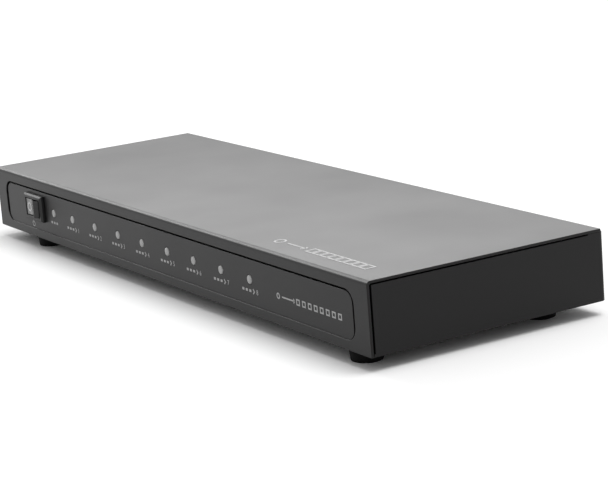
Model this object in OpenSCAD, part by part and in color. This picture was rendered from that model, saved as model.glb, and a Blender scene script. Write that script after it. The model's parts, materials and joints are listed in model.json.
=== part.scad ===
// Eight-way HDMI splitter in a flat casing of folded sheet steel.
// Millimetres. X runs along the front, Y runs from the front to the rear, Z is up.
// The origin lies on the floor under the middle of the casing.

/* [Casing] */
// Width of the casing
body_w = 290; // [261:1:340]
// Depth of the casing, from bezel face to rear face
body_d = 94; // [90:1:130]
// Height of the casing without its feet
body_h = 25; // [24.5:0.5:40]
// Thickness of the folded sheet steel
sheet = 1; // [0.8:0.1:1.2]
// Outer radius of the bend between the top and the bezel
bend_r = 1.6; // [1.4:0.1:3]
// Outer radius of the tray's upright rear bends
corner_r = 1.5; // [1.3:0.1:4]
// Gap between the side walls and the cover above them
side_gap = 0.5; // [0.3:0.1:1.5]
// Gap between the bezel and the front edges of the side walls
front_gap = 0.8; // [0.3:0.1:2]
// Setback of the side walls behind the ends of the cover
side_inset = 0.2; // [0:0.1:1]
// Gap between the rear edge of the cover and the rear wall
rear_gap = 0.2; // [0.1:0.1:1]
// Length of the raised rear corners that carry the cover
corner_len = 6.6; // [4:0.2:12]
// Clearance between fixed pieces that pass each other
fit = 0.2; // [0.1:0.05:0.3]

/* [Bezel window] */
// Width of the bezel beside the window
window_side = 8.6; // [6:0.1:14]
// Height of the bezel under the window
window_sill = 3.5; // [3.5:0.1:5]
// Height of the bezel above the window
window_head = 4.5; // [4:0.1:6]
// Corner radius of the window
window_r = 5; // [2:0.5:7]
// Lap of the fascia behind the bezel
fascia_lap = 2; // [1:0.1:2]
// Thickness of the fascia
fascia_t = 1; // [0.8:0.1:1.5]
// Height of the fascia's raised panel in the window
panel_t = 0.7; // [0.3:0.1:0.8]
// Gap between the window and the top of the panel
panel_head = 0.8; // [0.3:0.1:1]
// Gap between the window and each end of the panel
panel_side = 1.2; // [0.3:0.1:1.5]

/* [Cover fixing] */
// Height of the cover's rear lip
lip_h = 6; // [5.5:0.5:7]
// Distance of the bezel's return tabs from the middle
tab_x = 54; // [30:1:80]
// Width of a return tab
tab_w = 16; // [10:1:24]
// Length of a return tab, from the bezel face
tab_l = 12; // [11:0.5:16]
// Distance of a tab's screw from the bezel face
tab_screw_y = 6; // [5.5:0.5:7]
// Distance of the outer rear screws from the middle
rear_screw_x = 112; // [80:1:130]
// Thread diameter of the screws
screw_d = 2.9; // [2.4:0.1:3]
// Head diameter of the screws
screw_head_d = 5.4; // [4.6:0.1:6]
// Head height of the screws
screw_head_h = 1.6; // [1:0.1:2]
// Length of a screw under its head
screw_l = 5; // [4.5:0.5:6]
// Clearance of a screw in its hole, on the radius
screw_fit = 0.05; // [0.03:0.01:0.1]

/* [Feet] */
// Diameter of a foot at the casing
foot_d = 12; // [8:0.5:13]
// Height of a foot
foot_h = 4.9; // [3:0.1:10]
// Taper of a foot, on the radius
foot_taper = 0.6; // [0:0.1:1.5]
// Distance of the left feet from the left end
foot_left = 33; // [16:0.5:60]
// Distance of the right feet from the right end
foot_right = 15.5; // [10:0.5:60]
// Distance of the front feet from the bezel face
foot_front = 8; // [8:0.5:20]
// Distance of the rear feet from the rear face
foot_rear = 16.5; // [10:0.5:30]

/* [Board] */
// Thickness of the circuit board
board_t = 1.6; // [1.2:0.1:2]
// Height of the board's standoffs
standoff_h = 5; // [4:0.5:5]
// Width across the flats of a standoff
standoff_w = 5.5; // [5:0.1:6.5]
// Gap between the board and each side wall
board_side = 6; // [4:0.5:12]
// Distance of the board's front edge from the bezel face
board_front = 5; // [4.5:0.5:6]
// Distance of the board's rear edge from the rear face
board_rear = 2.5; // [2:0.5:4]
// Distance of the board's holes from its side edges
hole_side = 8; // [6:0.5:12]
// Distance of the front holes from the board's front edge
hole_front = 16; // [14:0.5:20]
// Distance of the rear holes from the board's rear edge
hole_rear = 24; // [20:0.5:28]

/* [Indicators] */
// Diameter of an indicator lamp
lamp_d = 3; // [2:0.1:4]
// Length of a lamp, from tip to collar
lamp_l = 5.2; // [4.5:0.1:6]
// Height of the lamps above the casing's underside
lamp_z = 12.5; // [11:0.1:16]
// Height of a lamp's tip above the fascia
lamp_proud = 0.3; // [0:0.1:0.8]
// Distance of the first output lamp from the left end
lamp_left = 72.7; // [66:0.1:84]
// Distance between the output lamps
lamp_pitch = 20.25; // [12:0.05:22]
// Distance of the power lamp before the first output lamp
lamp_power = 17.8; // [8:0.1:19]
// Side of a lamp's square lead
lead_w = 0.5; // [0.3:0.05:0.6]
// Distance between the two leads of a lamp
lead_pitch = 2.54; // [2.3:0.01:3]

/* [Power switch] */
// Distance of the switch from the left end
switch_left = 37.9; // [28:0.1:39]
// Height of the switch above the casing's underside
switch_z = 12.8; // [12.6:0.1:16]
// Width of the switch's flange
flange_w = 16.4; // [16:0.1:18]
// Height of the switch's flange
flange_h = 10.8; // [10.4:0.1:11.4]
// Thickness of the switch's flange
flange_t = 1.8; // [1.6:0.1:2.5]
// Bevel of the flange's front edges
flange_bevel = 0.7; // [0.2:0.1:0.8]
// Width of the rocker's well
well_w = 12.8; // [12.6:0.1:13]
// Height of the rocker's well
well_h = 7.4; // [7:0.1:7.8]
// Wall of the switch's housing
housing_wall = 0.8; // [0.6:0.05:0.9]
// Depth of the housing behind the fascia
housing_l = 12; // [11.5:0.5:15]
// Clearance of the rocker in its well
rocker_fit = 0.25; // [0.2:0.01:0.3]
// Tilt of the rocker to each side of its middle
rocker_tilt = 11; // [8:0.5:12]
// Depth of the rocker's axis behind the flange face
rocker_axis = 1.5; // [1.4:0.05:1.6]
// Diameter of the rocker's trunnions
trunnion_d = 1.6; // [1.2:0.1:1.8]
// Length of a trunnion in the housing
trunnion_l = 0.7; // [0.5:0.1:0.8]
// Running clearance of the trunnions, on the radius
trunnion_fit = 0.05; // [0.02:0.01:0.1]
// Diameter of the plunger
plunger_d = 2.8; // [2.4:0.1:3]
// Reach of the plunger's tip behind the rocker's axis
plunger_reach = 8; // [7.8:0.1:8.2]
// Length of the contact arm
arm_l = 9; // [7:0.1:9.6]
// Thickness of the contact arm
arm_t = 0.4; // [0.3:0.05:0.6]
// Diameter of the rib that the contact arm rocks on
arm_rib_d = 1; // [0.8:0.1:1.2]
// Tilt of the contact arm to each side of its middle
arm_tilt = 6; // [4:0.5:6]
// Gap between the plunger's tip and the contact arm
arm_gap = 0.2; // [0.15:0.05:0.3]
// Height of the terminals
terminal_h = 3.2; // [2.5:0.1:4]
// Thickness of the terminals
terminal_t = 0.6; // [0.5:0.05:0.8]
// Length of the terminals behind the housing
terminal_l = 6; // [4:0.5:8]
// Distance between the two terminals
terminal_pitch = 4; // [3.6:0.1:4.2]
// Diameter of the switch leads
wire_d = 1.3; // [1:0.1:1.6]
// Bend radius of the switch leads
wire_bend = 3.2; // [2.5:0.1:3.6]

/* [Ports] */
// Inner width of an HDMI socket
port_w = 14; // [13.9:0.01:14.1]
// Inner width of an HDMI socket's lower edge
port_low_w = 10.6; // [10.4:0.1:11]
// Inner height of an HDMI socket
port_h = 4.55; // [4.5:0.01:4.6]
// Wall of an HDMI shell
port_wall = 0.35; // [0.3:0.05:0.5]
// Length of an HDMI shell
port_l = 12; // [11:0.5:14]
// Length of the insert's block at the back of a shell
port_block = 3; // [2:0.5:4]
// Width of an HDMI tongue
tongue_w = 11.6; // [11:0.1:12]
// Thickness of an HDMI tongue
tongue_t = 1.1; // [0.9:0.1:1.4]
// Distance of a tongue's tip from the socket's mouth
tongue_recess = 3.6; // [3.4:0.1:4]
// Clearance of an insert in its shell
port_fit = 0.05; // [0.03:0.01:0.1]
// Reach of the sockets past the rear wall
rear_reach = 0.8; // [0.4:0.1:1.4]
// Distance of the HDMI input from the left end
input_left = 51; // [47:0.5:57]
// Distance of the first HDMI output from the left end
output_left = 83; // [79:0.5:95]
// Distance of the last HDMI output from the right end
output_right = 25; // [16:0.5:60]

/* [Power inlet] */
// Distance of the power inlet from the left end
inlet_left = 23; // [19:0.5:29]
// Width of the inlet's block
inlet_w = 9; // [8.6:0.1:12]
// Height of the inlet's block
inlet_h = 10; // [9.6:0.1:12]
// Length of the inlet's block
inlet_l = 13; // [12:0.5:16]
// Outer diameter of the inlet's barrel
barrel_d = 8; // [7.6:0.1:8.4]
// Bore of the inlet's barrel
bore_d = 6.4; // [6:0.1:6.8]
// Depth of the inlet's bore
bore_l = 10; // [9:0.5:12]
// Diameter of the inlet's pin
pin_d = 2.1; // [1.6:0.1:2.5]
// Distance of the pin's tip from the inlet's mouth
pin_recess = 3.6; // [3.4:0.1:4]

/* [Electronics] */
// Side of a splitter chip
chip_w = 14; // [10:0.5:18]
// Height of a splitter chip
chip_h = 1.4; // [1:0.1:2]
// Side of a heat sink
sink_w = 22; // [14:0.5:28]
// Height of a heat sink
sink_h = 8; // [4:0.5:9]
// Number of fins on a heat sink
sink_fins = 7; // [4:1:9]
// Thickness of a fin and of a heat sink's base
fin_t = 1.2; // [0.8:0.1:1.5]
// Distance of each splitter chip from the middle
chip_x = 45; // [20:1:70]
// Diameter of a capacitor
cap_d = 8; // [5:0.5:9]
// Height of a capacitor
cap_h = 10; // [6:0.5:11]
// Number of capacitors
cap_count = 4; // [2:1:5]
// Distance between the capacitors
cap_pitch = 11; // [10:0.5:12]
// Side of the controller chip
controller_w = 8; // [5:0.5:10]
// Height of the controller chip
controller_h = 1; // [0.8:0.1:1.6]
// Width of the regulator chip
regulator_w = 6.6; // [5:0.1:10]
// Depth of the regulator chip
regulator_d = 6; // [4:0.1:8]
// Height of the regulator chip
regulator_h = 2.3; // [1.5:0.1:4]
// Side of the power inductor
inductor_w = 10; // [6:0.5:12]
// Height of the power inductor
inductor_h = 4.5; // [3:0.1:8]
// Corner radius of the power inductor
inductor_r = 1.5; // [0.5:0.1:2.5]
// Length of the crystal's can
crystal_l = 11; // [8:0.1:13]
// Width of the crystal's can
crystal_w = 4.6; // [3:0.1:5]
// Height of the crystal's can
crystal_h = 3.5; // [2:0.1:5]
// Space between neighbours on the board
part_gap = 3; // [2:0.5:5]

/* [Hidden] */
$fn = 64;
eps = 0.01;
outputs = 8;

// Main planes of the casing
base_z = foot_h;
top_z = base_z + body_h;
front_y = -body_d / 2;
rear_y = body_d / 2;
side_x = body_w / 2 - side_inset;
tray_front_y = front_y + sheet + front_gap;
cover_rear_y = rear_y - sheet - rear_gap;
lip_z = top_z - sheet - lip_h;
lip_w = 2 * (side_x - sheet - corner_len);
rear_screw_z = lip_z + lip_h / 2;

// Bezel window and the fascia behind it
window_w = body_w - 2 * window_side;
window_h = body_h - window_sill - window_head;
window_z = base_z + window_sill + window_h / 2;
fascia_y = front_y + sheet;
fascia_w = window_w + 2 * fascia_lap;
fascia_h = window_h + 2 * fascia_lap;
panel_y = fascia_y - panel_t;
panel_w = window_w - 2 * panel_side;
panel_h = window_h - panel_head - fit;
panel_z = window_z - (panel_head - fit) / 2;
panel_r = window_r - panel_side;

// Raised seats in the tray's floor, over the bezel's tabs
seat_rim = 2;
seat_front_y = fascia_y + fascia_t + fit;
seat_rear_y = front_y + tab_l + fit + seat_rim;
seat_w = tab_w + 2 * fit + 2 * seat_rim;

// Circuit board
floor_z = base_z + sheet;
board_z = floor_z + standoff_h;
board_top = board_z + board_t;
board_w = 2 * (side_x - sheet - board_side);
board_front_y = front_y + board_front;
board_rear_y = rear_y - board_rear;
hole_x = board_w / 2 - hole_side;
hole_xs = [-hole_x, 0, hole_x];
hole_ys = [board_front_y + hole_front, board_rear_y - hole_rear];

// Indicator lamps
lamp_height = base_z + lamp_z;
lamp_tip_y = panel_y - lamp_proud;
collar_rim = 0.4;
collar_d = lamp_d + 2 * collar_rim;
collar_t = 1;
collar_y = lamp_tip_y + lamp_l;
lead_run = 3.6;
lead_back_y = collar_y + collar_t + lead_run;
left_x = -body_w / 2;
lamp_x = left_x + lamp_left;
power_x = lamp_x - lamp_power;

// Power switch
switch_x = left_x + switch_left;
switch_height = base_z + switch_z;
flange_y = panel_y - flange_t;
axis_y = flange_y + rocker_axis;
housing_w = well_w + 2 * housing_wall;
housing_h = well_h + 2 * housing_wall;
housing_back_y = panel_y + housing_l;
housing_back_t = 1.2;
rocker_r = well_w / 2 - rocker_fit;
rocker_h = well_h - 2 * rocker_fit;
rocker_edge = 23;
rocker_edge_x = rocker_r * cos(rocker_edge);
rocker_edge_y = rocker_r * sin(rocker_edge);
rocker_dip_y = rocker_edge_y - rocker_edge_x * tan(rocker_tilt);
rocker_back = 2.4;
stem_wall = 0.8;
stem_w = plunger_d + 2 * stem_wall;
stem_back = 5.6;
bore_back = 1.2;
plunger_front = 4.2;
plunger_tip_d = 1.8;
plunger_fit = 0.05;
spring_wire = 0.35;
spring_turns = 3;
spring_sides = 6;
spring_rings = 8 * spring_turns;
spring_fit = 0.1;
spring_d = plunger_d - 2 * spring_fit;
arm_y = axis_y + plunger_reach + arm_gap + arm_t / 2;
arm_h = 3.4;
cradle_gap = 0.1;
terminal_end_y = housing_back_y + terminal_l;
header_rim = 2;
header_w = terminal_pitch + 2 * header_rim;
header_l = 6;
header_h = 6;
wire_straight = 2;
header_y = terminal_end_y + wire_straight + 3 * wire_bend;
header_top = board_top + header_h;

// Sockets along the rear wall
mouth_y = rear_y + rear_reach;
port_z = board_top + port_wall + port_h / 2;
inlet_block_y = rear_y - sheet - fit;
inlet_roof = 0.6;
inlet_x = left_x + inlet_left;
inlet_z = board_top + inlet_h - barrel_d / 2 - inlet_roof;
input_x = left_x + input_left;
output_x = left_x + output_left;
output_pitch = (body_w - output_left - output_right) / (outputs - 1);

// Electronics
chip_y = -part_gap;
controller_y = chip_y + controller_w / 2 + part_gap;
crystal_x = controller_w / 2 + part_gap + crystal_w / 2;
cap_x0 = inlet_x + cap_d / 2;
cap_y = part_gap;
regulator_x = cap_x0 + cap_count * cap_pitch;
inductor_y = cap_y + regulator_d / 2 + part_gap + inductor_w / 2;

FEET = ["foot_front_left", "foot_front_right", "foot_rear_left", "foot_rear_right"];

function output_lamp_x(i) = lamp_x + (i - 1) * lamp_pitch;
function output_port_x(i) = output_x + (i - 1) * output_pitch;
lamp_xs = concat([power_x], [for (i = [1:outputs]) output_lamp_x(i)]);
port_xs = concat([input_x], [for (i = [1:outputs]) output_port_x(i)]);

// Inner outline of an HDMI socket, grown by g on every side
function port_outline(g) =
    let (
        half_w = port_w / 2,
        low = port_low_w / 2,
        half_h = port_h / 2,
        shoulder = half_h - (half_w - low),
        slant = g * tan(22.5)
    )
    [
        [-half_w - g, half_h + g],
        [half_w + g, half_h + g],
        [half_w + g, -shoulder - slant],
        [low + slant, -half_h - g],
        [-low - slant, -half_h - g],
        [-half_w - g, -shoulder - slant]
    ];

// Box between two corners
module block(low, high) {
    translate(low) cube(high - low);
}

// Stands a flat outline in the XZ plane and thickens it from y0 to y1
module upright(y0, y1) {
    translate([0, y1, 0]) rotate([90, 0, 0]) linear_extrude(y1 - y0) children();
}

// Rounded rectangle about the origin
module rounded_rect(w, h, r) {
    square([w - 2 * r, h], center = true);
    square([w, h - 2 * r], center = true);
    for (sx = [-1, 1], sy = [-1, 1])
        translate([sx * (w / 2 - r), sy * (h / 2 - r)]) circle(r);
}

// Rod along Y
module rod_y(d, y0, y1) {
    translate([0, y0, 0]) rotate([-90, 0, 0]) cylinder(d = d, h = y1 - y0);
}

// Screw with its head below the origin and its shank pointing up
module screw() {
    translate([0, 0, -screw_head_h]) cylinder(d = screw_head_d, h = screw_head_h);
    cylinder(d = screw_d, h = screw_l);
}

// Hole for a screw's shank, along Z
module screw_hole(z0, z1) {
    translate([0, 0, z0]) cylinder(d = screw_d + 2 * screw_fit, h = z1 - z0);
}

// Side view of the cover, from its bezel to its rear edge, shrunk by g
module cover_side(g) {
    r = bend_r - g;
    x0 = front_y + g;
    z1 = top_z - g;
    translate([x0, base_z]) square([r, body_h - g - r]);
    translate([x0 + r, base_z]) square([cover_rear_y - x0 - r, body_h - g]);
    translate([x0 + r, z1 - r]) circle(r);
}

// Top, bezel with its window, rear lip and return tabs, folded from one sheet
module top_cover() color("dimgray") difference() {
    union() {
        rotate([90, 0, 90]) translate([0, 0, -body_w / 2]) linear_extrude(body_w) difference() {
            cover_side(0);
            intersection() {
                cover_side(sheet);
                translate([front_y + sheet, base_z - eps]) square([body_d, body_h - sheet + eps]);
            }
            translate([front_y + sheet, base_z - eps]) square([body_d, body_h - bend_r]);
        }
        block([-lip_w / 2, cover_rear_y - sheet, lip_z], [lip_w / 2, cover_rear_y, top_z - sheet / 2]);
        for (s = [-1, 1])
            block(
                [s * tab_x - tab_w / 2, front_y + sheet / 2, base_z],
                [s * tab_x + tab_w / 2, front_y + tab_l, base_z + sheet]
            );
    }
    translate([0, 0, window_z]) upright(front_y - eps, front_y + sheet + eps)
        rounded_rect(window_w, window_h, window_r);
    for (s = [-1, 1])
        translate([s * tab_x, front_y + tab_screw_y, 0]) screw_hole(base_z - eps, base_z + sheet + eps);
    for (s = [-1:1])
        translate([s * rear_screw_x, 0, rear_screw_z])
            rod_y(screw_d + 2 * screw_fit, cover_rear_y - sheet - eps, cover_rear_y + eps);
    block(
        [inlet_x - inlet_w / 2 - fit, cover_rear_y - sheet - eps, lip_z - eps],
        [inlet_x + inlet_w / 2 + fit, cover_rear_y + eps, max(lip_z, board_top + inlet_h + fit)]
    );
}

// Plan of the tray with rounded rear corners, shrunk by g
module tray_plan(g) {
    half = side_x - g;
    r = corner_r - g;
    back = rear_y - g;
    translate([-half, tray_front_y]) square([2 * half, back - r - tray_front_y]);
    translate([-half + r, back - r - eps]) square([2 * (half - r), r + eps]);
    for (s = [-1, 1])
        translate([s * (half - r), back - r]) circle(r);
}

// Floor, side walls and rear wall, with cut-outs for the sockets
module chassis_tray() color("dimgray") difference() {
    union() {
        translate([0, 0, base_z]) linear_extrude(sheet) tray_plan(0);
        block(
            [-side_x, fascia_y + fit, base_z],
            [side_x, tray_front_y + corner_r, floor_z]
        );
        translate([0, 0, base_z]) linear_extrude(body_h - sheet) difference() {
            tray_plan(0);
            tray_plan(sheet);
        }
        for (s = [-1, 1])
            block(
                [s * tab_x - seat_w / 2, seat_front_y, floor_z],
                [s * tab_x + seat_w / 2, seat_rear_y, floor_z + sheet + fit]
            );
    }
    block(
        [-body_w, tray_front_y - eps, top_z - sheet - side_gap],
        [body_w, rear_y - corner_len, top_z]
    );
    for (s = [-1, 1]) {
        block(
            [s * tab_x - tab_w / 2 - fit, front_y, base_z - eps],
            [s * tab_x + tab_w / 2 + fit, front_y + tab_l + fit, floor_z]
        );
        translate([s * tab_x, front_y + tab_screw_y, 0]) screw_hole(base_z, floor_z + 2 * sheet);
    }
    for (x = port_xs)
        translate([x, 0, port_z]) upright(rear_y - sheet - eps, rear_y + eps)
            polygon(port_outline(port_wall + fit));
    translate([inlet_x, 0, inlet_z])
        rod_y(barrel_d + 2 * fit, rear_y - sheet - eps, rear_y + eps);
    for (s = [-1:1])
        translate([s * rear_screw_x, 0, rear_screw_z])
            rod_y(screw_d + 2 * screw_fit, rear_y - sheet - eps, rear_y + eps);
}

// Plate behind the bezel window, with a raised panel and holes for the lamps and the switch
module front_fascia() color("dimgray") difference() {
    union() {
        translate([0, 0, window_z]) upright(fascia_y, fascia_y + fascia_t)
            square([fascia_w, fascia_h], center = true);
        translate([0, 0, panel_z]) upright(panel_y, fascia_y + eps)
            rounded_rect(panel_w, panel_h, panel_r);
    }
    for (x = lamp_xs)
        translate([x, 0, lamp_height])
            rod_y(lamp_d + 2 * fit, panel_y - eps, fascia_y + fascia_t + eps);
    translate([switch_x, 0, switch_height]) upright(panel_y - eps, fascia_y + fascia_t + eps)
        square([housing_w + 2 * fit, housing_h + 2 * fit], center = true);
}

// Screws through the rear wall into the cover's lip
module cover_rear_screws() color("silver")
    for (s = [-1:1])
        translate([s * rear_screw_x, rear_y, rear_screw_z]) rotate([90, 0, 0]) screw();

// Screws through the bezel's tabs into the tray
module cover_front_screws() color("black")
    for (s = [-1, 1])
        translate([s * tab_x, front_y + tab_screw_y, base_z]) screw();

// Tapered rubber foot
module foot(name) {
    left = name == "foot_front_left" || name == "foot_rear_left";
    front = name == "foot_front_left" || name == "foot_front_right";
    x = left ? -body_w / 2 + foot_left : body_w / 2 - foot_right;
    y = front ? front_y + foot_front : rear_y - foot_rear;
    color("black") translate([x, y, 0])
        cylinder(d1 = foot_d - 2 * foot_taper, d2 = foot_d, h = foot_h);
}

// Circuit board with its screw holes
module main_board() color("darkgreen") difference() {
    block([-board_w / 2, board_front_y, board_z], [board_w / 2, board_rear_y, board_top]);
    for (x = hole_xs, y = hole_ys)
        translate([x, y, 0]) screw_hole(board_z - eps, board_top + eps);
}

// Hexagonal posts that carry the board
module board_standoffs() color("goldenrod")
    for (x = hole_xs, y = hole_ys)
        translate([x, y, 0]) difference() {
            translate([0, 0, floor_z]) cylinder(d = standoff_w / cos(30), h = standoff_h, $fn = 6);
            screw_hole(floor_z - eps, board_z + eps);
        }

// Screws from above through the board into its standoffs
module board_screws() color("silver")
    for (x = hole_xs, y = hole_ys)
        translate([x, y, board_top]) mirror([0, 0, 1]) screw();

// Flange with bevelled front edges
module flange() {
    intersection() {
        linear_extrude(flange_h, center = true) polygon([
            [-flange_w / 2, flange_t],
            [-flange_w / 2, flange_bevel],
            [-flange_w / 2 + flange_bevel, 0],
            [flange_w / 2 - flange_bevel, 0],
            [flange_w / 2, flange_bevel],
            [flange_w / 2, flange_t]
        ]);
        rotate([90, 0, 90]) linear_extrude(flange_w, center = true) polygon([
            [flange_t, -flange_h / 2],
            [flange_bevel, -flange_h / 2],
            [0, -flange_h / 2 + flange_bevel],
            [0, flange_h / 2 - flange_bevel],
            [flange_bevel, flange_h / 2],
            [flange_t, flange_h / 2]
        ]);
    }
}

// Switch body with its flange, well, trunnion bores and terminal slots
module switch_housing() color("black") difference() {
    union() {
        translate([switch_x, flange_y, switch_height]) flange();
        block(
            [switch_x - housing_w / 2, panel_y - eps, switch_height - housing_h / 2],
            [switch_x + housing_w / 2, housing_back_y, switch_height + housing_h / 2]
        );
    }
    block(
        [switch_x - well_w / 2, flange_y - eps, switch_height - well_h / 2],
        [switch_x + well_w / 2, housing_back_y - housing_back_t, switch_height + well_h / 2]
    );
    bore_h = well_h + 2 * (trunnion_l + trunnion_fit);
    translate([switch_x, axis_y, switch_height - bore_h / 2])
        cylinder(d = trunnion_d + 2 * trunnion_fit, h = bore_h);
    for (i = [0, 1])
        translate([switch_x - i * terminal_pitch, 0, switch_height])
            block(
                [-terminal_t / 2, housing_back_y - housing_back_t - eps, -terminal_h / 2],
                [terminal_t / 2, housing_back_y + eps, terminal_h / 2]
            );
}

// Places the rocker's own pieces: origin on its axis, pressed in on the left
module on_rocker() {
    translate([switch_x, axis_y, switch_height]) rotate([0, 0, -rocker_tilt]) children();
}

// Rocker with its shallow V face, trunnions and bored stem
module switch_rocker() color("black") on_rocker() difference() {
    union() {
        linear_extrude(rocker_h, center = true) intersection() {
            circle(rocker_r);
            polygon([
                [-rocker_r, rocker_back],
                [-rocker_r, -rocker_edge_y],
                [-rocker_edge_x, -rocker_edge_y],
                [0, -rocker_dip_y],
                [rocker_edge_x, -rocker_edge_y],
                [rocker_r, -rocker_edge_y],
                [rocker_r, rocker_back]
            ]);
        }
        block([-stem_w / 2, 0, -stem_w / 2], [stem_w / 2, stem_back, stem_w / 2]);
        cylinder(d = trunnion_d, h = well_h + 2 * trunnion_l, center = true);
    }
    rod_y(plunger_d + 2 * plunger_fit, bore_back, stem_back + eps);
}

// Plunger that slides in the rocker's stem
module switch_plunger() color("ivory") on_rocker() {
    tip_y = plunger_reach - plunger_tip_d / 2;
    rod_y(plunger_d, plunger_front, tip_y - plunger_tip_d / 2);
    rod_y(plunger_tip_d, tip_y - plunger_tip_d / 2 - eps, tip_y);
    translate([0, tip_y, 0]) sphere(d = plunger_tip_d);
}

// Point j on ring i of the coil spring's wire
function spring_point(i, j) =
    let (
        turn = 360 * spring_turns * i / spring_rings,
        roll = 360 * j / spring_sides,
        wire_r = spring_wire / 2,
        r = spring_d / 2 - wire_r + wire_r * cos(roll),
        y0 = bore_back + wire_r,
        y1 = plunger_front - wire_r
    )
    [r * cos(turn), y0 + (y1 - y0) * i / spring_rings + wire_r * sin(roll), r * sin(turn)];

// Coil spring behind the plunger
module switch_spring() color("silver") on_rocker() {
    n = spring_sides;
    last = spring_rings * n;
    points = [for (i = [0:spring_rings], j = [0:n - 1]) spring_point(i, j)];
    skin = [
        for (i = [0:spring_rings - 1], j = [0:n - 1])
            let (
                a = i * n + j,
                b = i * n + (j + 1) % n
            )
            each [[a, b, a + n], [b, b + n, a + n]]
    ];
    first_cap = [for (j = [1:n - 2]) [0, j + 1, j]];
    last_cap = [for (j = [1:n - 2]) [last, last + j, last + j + 1]];
    polyhedron(points, concat(skin, first_cap, last_cap));
}

// See-saw contact that the plunger tips
module switch_contact_arm() color("peru")
    translate([switch_x, arm_y, switch_height]) rotate([0, 0, arm_tilt]) {
        cube([arm_l, arm_t, arm_h], center = true);
        intersection() {
            cylinder(d = arm_rib_d, h = arm_h, center = true);
            block([-arm_rib_d, 0, -arm_h], [arm_rib_d, arm_rib_d, arm_h]);
        }
    }

// Centre terminal that cradles the arm, and the terminal that it closes on
module switch_terminals() color("silver") {
    reach = (terminal_pitch * sin(arm_tilt) + arm_t / 2) / cos(arm_tilt);
    front_ys = [arm_y + arm_rib_d / 2 + cradle_gap, arm_y + reach + cradle_gap];
    for (i = [0, 1])
        translate([switch_x - i * terminal_pitch, 0, switch_height])
            block(
                [-terminal_t / 2, front_ys[i], -terminal_h / 2],
                [terminal_t / 2, terminal_end_y, terminal_h / 2]
            );
}

// Bend of a lead in the YZ plane, from above its centre towards the rear
module lead_bend(angle) {
    rotate([0, -90, 0]) rotate_extrude(angle = angle) translate([wire_bend, 0]) circle(d = wire_d);
}

// Two leads that arch from the terminals to the header
module switch_leads() color("firebrick")
    for (i = [0, 1])
        translate([switch_x - i * terminal_pitch, 0, switch_height]) {
            bend_y = terminal_end_y + wire_straight;
            rod_y(wire_d, terminal_end_y, bend_y);
            translate([0, bend_y, wire_bend]) rotate([-90, 0, 0]) lead_bend(90);
            translate([0, bend_y + 2 * wire_bend, wire_bend]) rotate([90, 0, 0]) lead_bend(180);
            translate([0, header_y, header_top - switch_height])
                cylinder(d = wire_d, h = wire_bend - (header_top - switch_height));
        }

// Two-way header on the board
module switch_header() color("ivory")
    translate([switch_x - terminal_pitch / 2, header_y, 0])
        block([-header_w / 2, -header_l / 2, board_top], [header_w / 2, header_l / 2, header_top]);

// Indicator lamp with its collar and two cranked leads
module lamp(x) {
    color("gainsboro") translate([x, 0, lamp_height]) {
        translate([0, lamp_tip_y + lamp_d / 2, 0]) sphere(d = lamp_d);
        rod_y(lamp_d, lamp_tip_y + lamp_d / 2, collar_y + eps);
        rod_y(collar_d, collar_y, collar_y + collar_t);
        for (s = [-1, 1])
            translate([s * lead_pitch / 2, 0, 0]) {
                block(
                    [-lead_w / 2, collar_y + collar_t - eps, -lead_w / 2],
                    [lead_w / 2, lead_back_y, lead_w / 2]
                );
                block(
                    [-lead_w / 2, lead_back_y - lead_w, board_top - lamp_height],
                    [lead_w / 2, lead_back_y, lead_w / 2]
                );
            }
    }
}

// Spacers that stand on the board between the leads of each lamp
module led_holders() color("black") {
    spacer_w = lead_pitch - lead_w - 2 * fit;
    for (x = lamp_xs)
        translate([x, 0, 0])
            block(
                [-spacer_w / 2, collar_y + collar_t, board_top],
                [spacer_w / 2, lead_back_y, lamp_height + lamp_d / 2]
            );
}

// Bent steel shell of an HDMI socket
module hdmi_shell(x) {
    color("silver") translate([x, 0, port_z]) upright(mouth_y - port_l, mouth_y) difference() {
        polygon(port_outline(port_wall));
        polygon(port_outline(0));
    }
}

// Insulator of an HDMI socket: block at the back, tongue to the front
module hdmi_insert(x) {
    color("black") translate([x, 0, port_z]) {
        upright(mouth_y - port_l, mouth_y - port_l + port_block) polygon(port_outline(-port_fit));
        block(
            [-tongue_w / 2, mouth_y - port_l + port_block - eps, -tongue_t / 2],
            [tongue_w / 2, mouth_y - tongue_recess, tongue_t / 2]
        );
    }
}

// Power inlet: block on the board with a bored barrel through the rear wall
module dc_jack_body() color("black") difference() {
    union() {
        block(
            [inlet_x - inlet_w / 2, inlet_block_y - inlet_l, board_top],
            [inlet_x + inlet_w / 2, inlet_block_y, board_top + inlet_h]
        );
        translate([inlet_x, 0, inlet_z]) rod_y(barrel_d, inlet_block_y - eps, mouth_y);
    }
    translate([inlet_x, 0, inlet_z]) {
        rod_y(bore_d, mouth_y - bore_l, mouth_y + eps);
        rod_y(pin_d + 2 * port_fit, inlet_block_y - inlet_l - eps, mouth_y);
    }
}

// Centre pin of the power inlet
module dc_jack_pin() color("silver")
    translate([inlet_x, 0, inlet_z]) rod_y(pin_d, inlet_block_y - inlet_l, mouth_y - pin_recess);

// Two chips that split the signal
module splitter_chips() color("darkslategray")
    for (s = [-1, 1])
        translate([s * chip_x, chip_y, 0]) chip(chip_w, chip_w, chip_h);

// Finned heat sinks on the splitter chips
module heat_sinks() color("lightgray") {
    step = (sink_w - fin_t) / (sink_fins - 1);
    for (s = [-1, 1])
        translate([s * chip_x - sink_w / 2, chip_y - sink_w / 2, board_top + chip_h]) {
            cube([sink_w, sink_w, fin_t]);
            for (i = [0:sink_fins - 1])
                translate([i * step, 0, 0]) cube([fin_t, sink_w, sink_h]);
        }
}

// Flat-topped chip on the board, of size w by d by h
module chip(w, d, h) {
    translate([0, 0, board_top]) block([-w / 2, -d / 2, 0], [w / 2, d / 2, h]);
}

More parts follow.
